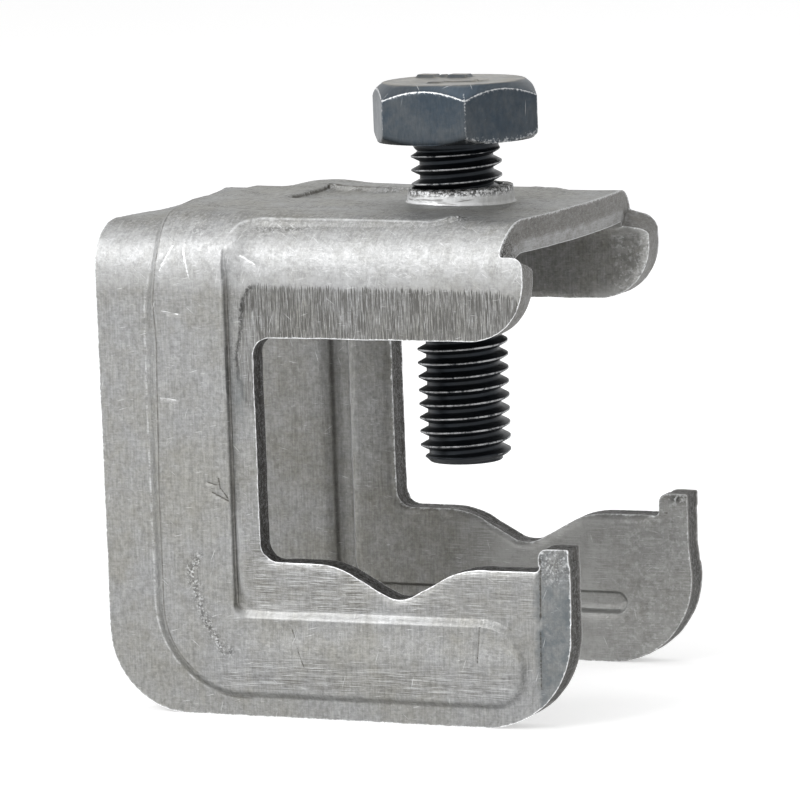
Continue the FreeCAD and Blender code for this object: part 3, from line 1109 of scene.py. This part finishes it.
def markRibLightAndShade(color, foot, crest, x, s, m, small, crossed, look):
    # painted light on the rib: a painted highlight along its outer foot and the pad's crest, a darker line
    # along the crest's lip, and painted shade in its inner corner
    outerSide = x.ramp(-22.0, -24.0)
    onCheek = s.ramp(middle - 4.0, middle - 9.0)
    footHighlight = abs(foot + 0.05).ramp(0.16, 0.04) * outerSide * s.ramp(49.0, 46.0) * small.ramp(0.2, 0.8)
    color = lay(color, look["bright"], footHighlight * (0.1 + 0.4 * crossed))
    lip = abs(crest).ramp(0.14, 0.03) * outerSide * onCheek
    color = lay(color, look["dirtAndShade"], lip * (0.2 + 0.6 * small))
    padLipHighlight = abs(crest).ramp(0.26, 0.05) * m.ramp(50.8, 52.6) * x.ramp(-21.0, -19.0) * x.ramp(9.0, 4.0)
    color = lay(color, look["bright"], padLipHighlight * (0.12 + 0.45 * small))
    innerSide = x.ramp(-22.0, -20.0) * x.ramp(-17.4, -18.2)
    corner = abs(foot + 0.02).ramp(0.17, 0.04) * innerSide * s.ramp(49.0, 45.5)
    return lay(color, look["dirtAndShade"], corner * (0.25 + 0.55 * small))


def makeAluminium(name, look, inside=False):
    material, tree, shader = newMaterial(name)
    place = named(tree, "sheet", "Vector")
    x, s, _ = parts(place)
    m = smaller(s, whole - s)
    scored, dirty, stainAndPaintedLight = parts(named(tree, "marks", "Vector"))
    foot, crest, rubbedAndSheen = parts(named(tree, "ribs", "Vector"))
    brightCut, dirtyCutAndShadeLine, level = parts(named(tree, "cuts", "Vector"))
    tone = useGroup(blotches, place, Size=9.0)
    small = useGroup(blotches, place, Size=1.4, Shift=4.0)
    grit = useGroup(blotches, place, Size=0.42, Shift=7.0)
    drawn = useGroup(streaks, place, Width=0.2, Length=3.0)
    crossed = useGroup(streaks, place, Turn=quarterTurn, Width=0.18, Length=1.2)
    speck = useGroup(specks, place, Size=0.4, Cover=0.3)

    # rolled metal: cloudy tone, a fine crossed grain and grit
    color = lay(look["cool"], look["warm"], tone)
    color = lay(color, look["pale"], 0.3 * small)
    shade = 0.26 * drawn + 0.2 * crossed + 0.36 * grit + 0.59
    grey = put(tree, "ShaderNodeCombineColor", {0: shade, 1: shade, 2: shade})
    color = lay(color, grey, 1.0, "MULTIPLY")
    # rubbed metal, and painted highlights on the bends, the rib's lower edge, the fillet and the rib's corner
    color = lay(color, look["polishAndSheen"], larger(rubbedAndSheen, 0.0) * (0.3 + 0.4 * small))
    color = lay(color, look["dirtAndShade"], 0.4 * speck)

    # the web is cracked and dirty
    wander = noiseOn(scaled(place, (0.16, 0.26, 0.0)), Scale=1.0, Detail=5.0, Roughness=0.62)
    crack = abs(wander - 0.5).ramp(0.02, 0.004) * m.ramp(webLine - 1.5, webLine + 1.5)
    crack = crack * small.ramp(0.25, 0.6) * rubbedAndSheen.ramp(0.3, 0.05)
    color = lay(color, look["dirtAndShade"], 0.45 * crack)

    # scored field, its edge broken by the same upright scores
    score = useGroup(streaks, place, Width=0.12, Length=8.0)
    fine = useGroup(streaks, place, Width=0.08, Length=2.2)
    ragged = scored + 1.1 * (score - 0.5)
    beside = larger(x.ramp(-15.7, -14.9), s.ramp(42.0, 44.5))
    field = ragged.ramp(-0.08, 0.16) * beside.ramp(0.0, 1.0, 0.4, 1.0)
    depth = 0.78 + 2.4 * (score - fine)
    color = lay(color, look["dark"], calc("MULTIPLY", field, depth, clamp=True))
    color = lay(color, look["bright"], 0.42 * field * (fine * score).ramp(0.46, 0.66))
    border = abs(scored + (0.3 * small + 0.35 * grit - 0.32))
    leftSide = x.ramp(-14.6, -15.6) * s.ramp(30.5, 32.5) * s.ramp(33.0, 38.0)
    color = lay(color, look["black"], border.ramp(0.3, 0.1) * leftSide * (0.2 + 0.6 * grit))

    # painted shade and painted highlights along the groove and the rib
    if inside:
        color = markGrooveLightAndShade(color, foot, x, m, small, look)
    color = markRibLightAndShade(color, foot, crest, x, s, m, small, crossed, look)

    # level scoring, gathered in places
    level = larger(level, 0.0) * (0.35 + 0.65 * useGroup(blotches, place, Size=5.0, Shift=9.0))
    thin = useGroup(streaks, place, Turn=quarterTurn, Width=0.055, Length=3.4)
    color = lay(color, look["dirtAndShade"], level * thin.ramp(0.45, 0.25, 0.0, 0.6))
    color = lay(color, look["bright"], level * thin.ramp(0.66, 0.85, 0.0, 0.5))

    # the collar's wall is drawn in level bands
    bands = noiseOn(scaled(place, (0.5, 0.5, 5.0)), Scale=1.0, Detail=2.0)
    color = lay(color, look["bright"], rubbedAndSheen.ramp(0.8, 1.7, 0.0, 0.4))
    color = lay(color, look["dirtAndShade"], rubbedAndSheen.ramp(1.05, 1.4) * bands.ramp(0.5, 0.36, 0.0, 0.6))

    # stains, a pale wipe inside that is partly painted light, dirty patches with a painted shade under the
    # pad's step, and cut scratches with a painted shade line along the dished field's edge
    color = lay(color, look["stain"], stainAndPaintedLight * (look["stainLeast"] + look["stainMore"] * small))
    patch = useGroup(flecks, place, Mask=dirty, Size=look["fleckSize"])
    color = lay(color, look["black"], 0.85 * patch)
    color = lay(color, look["bright"], 0.7 * patch.beside("Light"))
    wavy = 0.12 * (crossed - 0.5)
    color = lay(color, look["bright"], 0.85 * (brightCut + wavy).ramp(0.0, 0.09))
    color = lay(color, look["dirtAndShade"], 0.85 * (dirtyCutAndShadeLine + wavy).ramp(-0.02, 0.1))

    # fine scratches, more of them on the near bend, and rubbed edges
    bent = s.ramp(46.2, 48.2) * s.ramp(56.0, 53.0)
    lines = []
    for turn, cell, cover in look["scratches"]:
        lines.append(useGroup(scratches, place, Turn=turn, Cell=cell, Thin=16.0, Cover=cover + 0.13 * bent))
    line = larger(*lines)
    color = lay(color, look["bright"], line * (0.1 + 0.45 * small))
    worn = useGroup(edgeWear, place, Edge=named(tree, "edge"), Size=0.5, Amount=look["wear"])
    color = lay(color, look["bright"], 0.9 * worn)

    rough = 0.34 + 0.08 * tone + 0.12 * field + 0.08 * crossed + s.ramp(45.0, 49.0, 0.0, 0.07)
    height = 0.3 * drawn + 0.25 * crossed + 0.5 * grit - 0.3 * speck - 0.6 * line
    height = height + 0.7 * score * field - 1.2 * patch - 1.5 * crack
    feed(shader, color, rough, height, look["bumpStrength"], look["bumpDistance"])
    give(shader["Metallic"], look["metallic"])
    give(shader["Specular Tint"], look["tint"])
    return material


def makeCutEdge(look):
    material, tree, shader = newMaterial("cutEdge")
    place = named(tree, "sheet", "Vector")
    paintedLightTone, dirty, beads = parts(named(tree, "marks", "Vector"))
    tone = useGroup(blotches, place, Size=1.6)
    torn = useGroup(specks, place, Size=0.35, Cover=0.75)
    lines = useGroup(streaks, place, Turn=quarterTurn, Width=0.14, Length=1.6)
    # the painted light and shade of each cut face, broken by grain and lines
    level = paintedLightTone + 0.28 * (tone - 0.5) + 0.16 * (lines - 0.5)
    color = lay(look["black"], look["mid"], level.ramp(0.0, 0.5))
    color = lay(color, look["pale"], level.ramp(0.42, 1.0))
    color = lay(color, look["pale"], 0.22 * torn)
    patch = useGroup(flecks, place, Mask=dirty, Size=0.4)
    color = lay(color, look["black"], 0.8 * patch)
    color = lay(color, look["bright"], 0.4 * patch.beside("Light"))
    edge = named(tree, "edge") + 0.4 * beads
    worn = useGroup(edgeWear, place, Edge=edge, Size=0.4, Amount=look["wear"])
    color = lay(color, look["bright"], 0.85 * worn)
    height = 0.6 * torn + 0.5 * lines
    feed(shader, color, 0.42 + 0.2 * tone, height, look["bumpStrength"], look["bumpDistance"])
    give(shader["Metallic"], look["metallic"])
    return material


outerMetal = makeAluminium("aluminiumOuter", aluminium)
shadedInnerMetal = makeAluminium("aluminiumShadedInner", aluminiumShadedInside, inside=True)
foldedPlate = makePlate([outerMetal, shadedInnerMetal, makeCutEdge(cutFace)])
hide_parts("clamp_body")
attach(foldedPlate, "body")
print("folded plate made,", len(foldedPlate.data.polygons), "faces")


# hexagon screw

screw = {
    "tip": 25.3, "under": 60.3, "top": 66.7, "crest": 4.93, "root": 4.02, "pitch": 1.5, "neck": 4.62,
    "tipFlat": 3.9, "threadEnd": 59.5, "threadShift": -0.57, "flats": 16.8, "turn": -1.0, "corner": 0.3,
    "topFlat": 7.65, "topBevel": 38.0, "underFlat": 8.5, "underBevel": 30.0, "lip": 0.28, "columns": 120,
    "crestHalf": 0.08, "flankEnd": 0.56, "outlineStep": 0.55, "flatSpacing": 0.9, "topSpacing": 0.45,
    "tipSlope": 1.05, "crestWear": 0.03, "crestGrain": 0.025, "fadeLead": 0.7, "fadeLength": 0.9,
    "edgeIn": 0.14, "topSink": 0.01, "dish": 0.05, "dishSquare": 56.0, "tipHollow": 0.12, "hollowRadius": 2.4,
    # rows of the thread, as distances from the crest's middle
    "rows": [-0.75, -0.64, -0.56, -0.4, -0.24, -0.13, -0.08, 0.0, 0.08, 0.13, 0.24, 0.4, 0.56, 0.64],
}
# plain raised bars on the head: centre x, y, half length, half width, height
headBars = [(-4.6, 3.9, 1.05, 0.75, 0.3), (-2.75, 4.0, 0.35, 0.4, 0.28), (-0.9, 3.9, 1.1, 0.8, 0.32),
            (-0.6, -3.6, 0.7, 0.6, 0.16), (1.6, -2.2, 2.0, 0.45, 0.12), (3.6, -1.0, 0.5, 0.9, 0.1)]
barFlank = 0.16

reachOut = screw["flats"] / math.sqrt(3)        # from the axis to a corner
seat = screw["under"] + screw["lip"]
underRise = math.tan(math.radians(screw["underBevel"]))
topFall = math.tan(math.radians(screw["topBevel"]))


def threadRadius(phase):
    # radius at a distance from the crest's middle along the axis
    away = abs(phase) - screw["crestHalf"]
    flank = screw["flankEnd"] - screw["crestHalf"]
    if away < 0:
        return screw["crest"]
    if away < flank:
        return screw["crest"] - (screw["crest"] - screw["root"]) * away / flank
    return screw["root"] - 0.02


def makeThread():
    phases = screw["rows"]
    columns = screw["columns"]
    pitch = screw["pitch"]
    startZ = screw["tip"] - 2 * pitch + screw["threadShift"]
    turns = int((screw["under"] - startZ) / pitch) + 2
    bm = bmesh.new()
    grid = []
    for j in range(turns):
        for phase in phases:
            row = []
            for i in range(columns):
                angle = 2 * math.pi * i / columns
                z = startZ + j * pitch + pitch * i / columns + phase
                radius = threadRadius(phase)
                wob = noise.noise((math.cos(angle) * 2, math.sin(angle) * 2, z * 0.9))
                fine = noise.noise((math.cos(angle) * 14, math.sin(angle) * 14, z * 4.0))
                if abs(phase) < 0.3:
                    radius -= screw["crestWear"] * max(0.0, wob) + screw["crestGrain"] * abs(fine)
                fade = float(smooth((z - screw["threadEnd"] + screw["fadeLead"]) / screw["fadeLength"]))
                radius = radius * (1 - fade) + screw["neck"] * fade
                chamfer = screw["tipFlat"] + (z - screw["tip"]) * screw["tipSlope"] + 0.02 * fine
                radius = min(radius, chamfer)
                radius = max(radius, 1.0)
                row.append(bm.verts.new((radius * math.cos(angle), radius * math.sin(angle), z)))
            grid.append(row)
    each = len(phases)
    for k in range(len(grid) - 1):
        for i in range(columns):
            if i < columns - 1:
                bm.faces.new((grid[k][i], grid[k][i + 1], grid[k + 1][i + 1], grid[k + 1][i]))
            elif k + each + 1 < len(grid):
                bm.faces.new((grid[k][i], grid[k + each][0], grid[k + each + 1][0], grid[k + 1][i]))
    for height, side in ((screw["tip"], -1), (seat, 1)):
        bmesh.ops.bisect_plane(bm, geom=bm.verts[:] + bm.edges[:] + bm.faces[:], dist=1e-6,
                               plane_co=(0, 0, height), plane_no=(0, 0, side), clear_outer=True)
    loose = [v for v in bm.verts if not v.link_faces]
    bmesh.ops.delete(bm, geom=loose, context="VERTS")
    return bm


def headProfile():
    # places round the hexagon's rounded outline
    corners = []
    for k in range(6):
        a = math.radians(screw["turn"] + 60 * k)
        corners.append((reachOut * math.cos(a), reachOut * math.sin(a), screw["corner"]))
    return trace(corners, screw["outlineStep"])


def makeHead(bm):
    # closes the screw: underside, flats, bevels and top, from the neck's ring upward
    rim = [e for e in bm.edges if e.is_boundary and all(abs(v.co.z - seat) < 1e-4 for v in e.verts)]
    neck = orderedRing(rim)
    hexagon = headProfile()
    if ringArea(hexagon) < 0:
        hexagon = hexagon[::-1]
    radius = np.hypot(hexagon[:, 0], hexagon[:, 1])
    unit = hexagon / radius[:, None]
    low = screw["under"] + np.maximum(radius - screw["underFlat"], 0) * underRise
    high = screw["top"] - (radius - screw["topFlat"]) * topFall
    rows = []
    rough = bumps(np.column_stack([hexagon, np.zeros(len(hexagon))]), 1.2, 5.5, 3)

    def row(r, z):
        return [Vector((u[0] * a, u[1] * a, b)) for u, a, b in zip(unit, r, z)]

    ledge = np.minimum(radius, screw["underFlat"])
    for inward, z in ((0.6, seat), (0.25, screw["under"] + 0.06), (0.0, screw["under"] + 0.03)):
        rows.append(row(ledge - inward, np.full(len(radius), z)))
    rows.append(row(radius - 0.12, low + 0.02))
    rows.append(row(radius - 0.02 + 0.01 * rough, low + 0.12))
    for t in (0.12, 0.3, 0.5, 0.7, 0.88):
        rows.append(row(radius + 0.012 * rough, low + (high - low) * t))
    inward = screw["edgeIn"]
    rows.append(row(radius, high - inward))
    rows.append(row(radius - 0.035 + 0.012 * rough, high - 0.03))
    rows.append(row(radius - inward, high + inward * topFall - 0.02))
    for t in (0.35, 0.7):
        mid = (radius - inward) + (screw["topFlat"] - radius + inward) * t
        rows.append(row(mid, screw["top"] - (mid - screw["topFlat"]) * topFall))
    flat = np.full(len(radius), screw["topFlat"])
    rows.append(row(flat + 0.1, np.full(len(radius), screw["top"]) - 0.07))
    rows.append(row(flat - 0.1, np.full(len(radius), screw["top"]) - screw["topSink"]))
    made = [[bm.verts.new(p) for p in r] for r in rows]
    for face in quads(made):
        bm.faces.new(face)
    fillFlat(bm, made[0], [neck], lambda x, y: seat, screw["flatSpacing"], [])
    bars = []
    for x, y, a, b, _ in headBars:
        for grow in (0.0, barFlank):
            sides = (x - a - grow, y - b - grow, x + a + grow, y + b + grow)
            corners = [(sides[i], sides[j], 0.25) for i, j in ((0, 1), (2, 1), (2, 3), (0, 3))]
            bars.append(trace(corners, 0.25))
    fillFlat(bm, made[-1], [], topHeight, screw["topSpacing"], bars)


def topHeight(x, y):
    z = screw["top"] - screw["topSink"]
    for bx, by, a, b, high in headBars:
        inside = min(a - abs(x - bx), b - abs(y - by))
        z += high * float(smooth((inside + barFlank) / barFlank))
    dish = 1 - (x * x + y * y) / screw["dishSquare"]
    return z - screw["dish"] * dish + 0.012 * noise.noise((x * 0.8, y * 0.8, 3.0))


def ringArea(points):
    total = 0.0
    for i in range(len(points)):
        a = points[i - 1]
        b = points[i]
        total += a[0] * b[1] - b[0] * a[1]
    return total


def orderedRing(edges):
    # the vertices round a closed rim, anticlockwise from above
    near = {}
    for e in edges:
        a, b = e.verts
        near.setdefault(a, []).append(b)
        near.setdefault(b, []).append(a)
    first = edges[0].verts[0]
    ring = [first]
    before = None
    here = first
    while True:
        options = [v for v in near[here] if v is not before]
        before, here = here, options[0]
        if here is first:
            break
        ring.append(here)
    if ringArea([(v.co.x, v.co.y) for v in ring]) < 0:
        ring.reverse()
    return ring


def fillFlat(bm, outer, holes, heightAt, spacing, guides):
    # covers a flat ring of vertices, leaving out the holes
    rings = [outer] + holes
    loops = [np.array([(v.co.x, v.co.y) for v in ring]) for ring in rings]
    extra = np.concatenate(guides) if guides else np.zeros((0, 2))
    clear = spacing * 0.7
    if len(extra):
        extra = thinned(extra, loops[0], 0.12)
    flat, triangles, order = covered(loops, [], extra, spacing, clear)
    known = [v for ring in rings for v in ring]
    verts = {}
    for j, v in enumerate(known):
        verts[int(order[j])] = v
    for i, p in enumerate(flat):
        if i not in verts:
            verts[i] = bm.verts.new((p[0], p[1], heightAt(p[0], p[1])))
    for a, b, c in triangles:
        bm.faces.new((verts[a], verts[b], verts[c]))


def tipHeight(x, y):
    # the tip's end is a little hollow
    hollow = float(smooth(1 - math.hypot(x, y) / screw["hollowRadius"]))
    return screw["tip"] + screw["tipHollow"] * hollow


def screwMarks(places):
    # wear on the thread's crests and the head's edges, and where the screw is black: the thread, and on the
    # head a painted shade on the right-hand faces and a darker band along the bottom of the other faces
    x, y, z = places.T
    radius = np.hypot(x, y)
    angle = np.degrees(np.arctan2(y, x)) - screw["turn"]
    toCorner = np.abs((angle + 30) % 60 - 30)
    onHead = (z > screw["under"] - 1e-3) & ((radius > 5.0) | (z > seat - 1e-3))
    sideRadius = screw["flats"] / 2 / np.cos(np.radians(30 - np.minimum(toCorner, 30)))
    sideRadius = np.minimum(sideRadius, reachOut)
    high = screw["top"] - (sideRadius - screw["topFlat"]) * topFall
    low = screw["under"] + np.maximum(sideRadius - screw["underFlat"], 0) * underRise
    onRight = (angle > -60) & (angle < 0)
    atArc = np.exp(-(np.abs(z - high) + np.abs(radius - sideRadius)) / 0.18) * np.where(onRight, 1.2, 1.3)
    atCorner = 0.95 * np.exp(-toCorner / 0.7) * (radius > 8.6)
    atLow = np.exp(-np.abs(z - low) / np.where(onRight, 1.1, 0.8))
    atLow = atLow * (radius > 7.8) * np.where(onRight, 0.72, 0.42)
    broken = 0.78 + 0.3 * bumps(places * (1.0, 1.0, 0.5), 1.6, 4.4)
    crest = smooth((radius - 4.79) / 0.1) * ~onHead * np.clip(broken, 0, 1)
    # darker towards the bottom of the other faces, and painted shade over the right-hand faces
    darkening = 0.6 * np.exp(-np.maximum(z - low, 0) / 0.4) * ~onRight
    darkening = np.maximum(0.29 * (onRight & (z < high - 0.1)), darkening)
    wear = np.where(onHead, np.max([atArc, atCorner, atLow], 0), crest)
    return wear, np.where(onHead, darkening, 1.0)


def makeScrew(material):
    bm = makeThread()
    makeHead(bm)
    ring = orderedRing([e for e in bm.edges if e.is_boundary])
    fillFlat(bm, ring, [], tipHeight, screw["flatSpacing"], [])
    bmesh.ops.recalc_face_normals(bm, faces=bm.faces)
    bm.verts.index_update()
    places = np.array([tuple(v.co) for v in bm.verts])
    faces = [tuple(v.index for v in f.verts) for f in bm.faces]
    bm.free()
    wear, thread = screwMarks(places)
    values = {"sheet": places, "edge": wear, "thread": thread}
    return meshFrom("hexScrew", places, faces, values, [material])


steel = {
    "blue": (0.05, 0.069, 0.09), "grey": (0.1, 0.112, 0.122), "black": (0.010, 0.011, 0.013),
    "bright": (0.72, 0.73, 0.74), "brown": (0.26, 0.245, 0.21), "darkening": (0.02, 0.025, 0.03),
    "speck": (0.3, 0.31, 0.32), "wear": 0.46, "metallic": 0.85, "bumpStrength": 0.4, "bumpDistance": 0.00005,
    # fine scratches: turn, cell, cover
    "scratches": [(0.9, 4.0, 0.03), (-0.7, 3.2, 0.02)],
}


def makeSteel(look):
    material, tree, shader = newMaterial("darkSteel")
    place = named(tree, "sheet", "Vector")
    thread = named(tree, "thread")
    head = 1.0 - thread
    tone = useGroup(blotches, place, Size=4.0)
    patchy = useGroup(blotches, place, Size=1.3, Shift=2.0)
    drawn = useGroup(streaks, place, Width=0.25, Length=1.2)
    speck = useGroup(specks, place, Size=0.3, Cover=0.3)
    color = lay(look["blue"], look["grey"], tone)
    color = lay(color, look["darkening"], 0.3 * drawn)
    # the black thread; on the head, painted shade on the right-hand faces and a darker band along the bottom
    # of the others
    color = lay(color, look["black"], 0.85 * thread)
    facing = parts(put(tree, "ShaderNodeNewGeometry", output="Normal"))
    top = facing[2].ramp(0.8, 0.98) * head
    color = lay(color, look["brown"], top * (0.3 + 0.7 * patchy))
    color = lay(color, look["speck"], 0.45 * speck)
    lines = []
    for turn, cell, cover in look["scratches"]:
        lines.append(useGroup(scratches, place, Turn=turn, Cell=cell, Thin=22.0, Cover=cover))
    color = lay(color, look["bright"], 0.4 * head * larger(*lines))
    worn = useGroup(edgeWear, place, Edge=named(tree, "edge"), Size=0.28, Amount=look["wear"])
    color = lay(color, look["bright"], worn * (0.5 + 0.35 * head))
    height = 0.4 * tone + 0.5 * speck
    feed(shader, color, 0.33 + 0.14 * tone, height, look["bumpStrength"], look["bumpDistance"])
    give(shader["Metallic"], look["metallic"])
    return material


hexScrew = makeScrew(makeSteel(steel))
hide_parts("clamp_bolt")
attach(hexScrew, "screw")
print("screw made,", len(hexScrew.data.polygons), "faces")


# floor, backdrop and light, in metres

studio = {
    "floorSize": 4.0, "floorTone": (0.86, 0.86, 0.86), "floorLift": 0.5, "worldStrength": 0.5,
    "white": (1.0, 1.0, 1.0), "lampTarget": (0, 0, 0.03),
    "lamps": [
        ("keyLamp", (-0.36, -0.65, 0.55), (0.42, 0.36), 2.5),
        ("topLamp", (-0.1, 0.1, 0.9), (0.5, 0.5), 1.0),
        ("frontLamp", (-0.25, -0.8, 0.5), (0.6, 0.5), 0.6),
        ("leftLamp", (-0.8, -0.2, 0.3), (0.5, 0.6), 1.3),
        ("rightLamp", (0.75, -0.35, 0.3), (0.4, 0.6), 0.4),
    ],
}


def seenByCamera(tree):
    # 1 for what the camera, a reflection or a clear material sees, 0 for the light itself
    camera = put(tree, "ShaderNodeLightPath", output="Is Camera Ray")
    return larger(camera, camera.beside("Is Glossy Ray"), camera.beside("Is Transmission Ray"))


def makeFloor():
    bpy.ops.mesh.primitive_plane_add(size=studio["floorSize"], location=(0, 0, 0))
    floor = bpy.context.object
    floor.name = "floor"
    material, tree, shader = newMaterial("paleFloor")
    give(shader["Base Color"], studio["floorTone"])
    give(shader["Roughness"], 0.9)
    give(shader["Specular IOR Level"], 0.1)
    give(shader["Emission Color"], studio["white"])
    give(shader["Emission Strength"], studio["floorLift"] * seenByCamera(tree))
    floor.data.materials.append(material)


def makeLight():
    world = bpy.data.worlds.new("paleWorld")
    bpy.context.scene.world = world
    world.use_nodes = True
    tree = world.node_tree
    background = tree.nodes["Background"].inputs
    lit = studio["worldStrength"]
    give(background["Color"], studio["white"])
    give(background["Strength"], lit + (1 - lit) * seenByCamera(tree))
    for name, place, size, power in studio["lamps"]:
        data = bpy.data.lights.new(name, "AREA")
        data.shape = "RECTANGLE"
        data.size, data.size_y = size
        data.energy = power
        lamp = bpy.data.objects.new(name, data)
        lamp.location = place
        aim = Vector(studio["lampTarget"]) - Vector(place)
        lamp.rotation_euler = aim.to_track_quat("-Z", "Y").to_euler()
        bpy.context.scene.collection.objects.link(lamp)
    bpy.context.scene.view_settings.view_transform = "Standard"


makeFloor()
makeLight()
print("studio lit")
